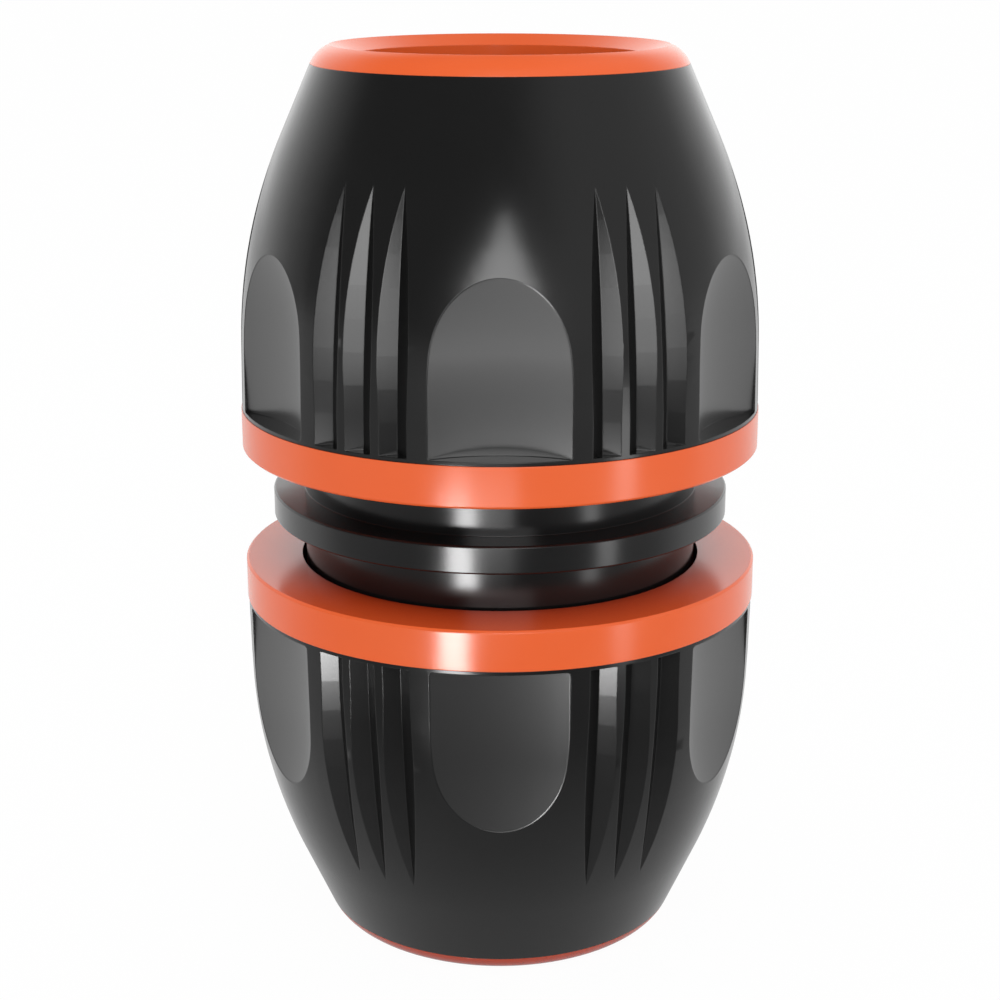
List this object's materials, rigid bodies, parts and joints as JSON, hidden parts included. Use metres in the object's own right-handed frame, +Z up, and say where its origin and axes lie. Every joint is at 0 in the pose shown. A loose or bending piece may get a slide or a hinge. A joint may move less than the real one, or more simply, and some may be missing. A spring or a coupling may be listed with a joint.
{
  "type": "hose mender",
  "caption": "Straight hose mender: flanged centre body with barbed stems, and a screw-on grip nut with a claw ring at each end.",
  "frame": {"origin": "centre of the flange, on the axis of the waterway", "axes": "+Z up along the waterway, through the upper nut's mouth; -Y to the front, through the middle of one thumb recess on each nut"},
  "size_m": [0.04, 0.04, 0.0692],
  "materials": {
    "black_body": "moulded acetal, satin gloss",
    "orange_nut": "moulded ABS, gloss",
    "black_grip": "overmoulded grip sleeve, satin",
    "claw_ring": "moulded acetal, plain"
  },
  "bodies": {
    "body": {"centre_body": "black_body"},
    "upper_ring": {"upper_claws": "claw_ring"},
    "upper_cap": {"upper_nut": "orange_nut", "upper_grip": "black_grip"},
    "lower_ring": {"lower_claws": "claw_ring"},
    "lower_cap": {"lower_nut": "orange_nut", "lower_grip": "black_grip"}
  },
  "joints": [
    {"name": "upper_travel", "type": "slide", "parent": "body", "child": "upper_ring", "axis": [0, 0, 1], "range_m": [-0.003, 0.005]},
    {"name": "upper_turn", "type": "hinge", "parent": "upper_ring", "child": "upper_cap", "pos_m": [0, 0, 0], "axis": [0, 0, 1], "range_deg": [-271, 451]},
    {"name": "lower_travel", "type": "slide", "parent": "body", "child": "lower_ring", "axis": [0, 0, -1], "range_m": [-0.003, 0.005]},
    {"name": "lower_turn", "type": "hinge", "parent": "lower_ring", "child": "lower_cap", "pos_m": [0, 0, 0], "axis": [0, 0, -1], "range_deg": [-271, 451]}
  ],
  "couplings": [
    {"joint": "upper_turn", "follows": "upper_travel", "rad_per_m": 1570.8},
    {"joint": "lower_turn", "follows": "lower_travel", "rad_per_m": 1570.8}
  ]
}
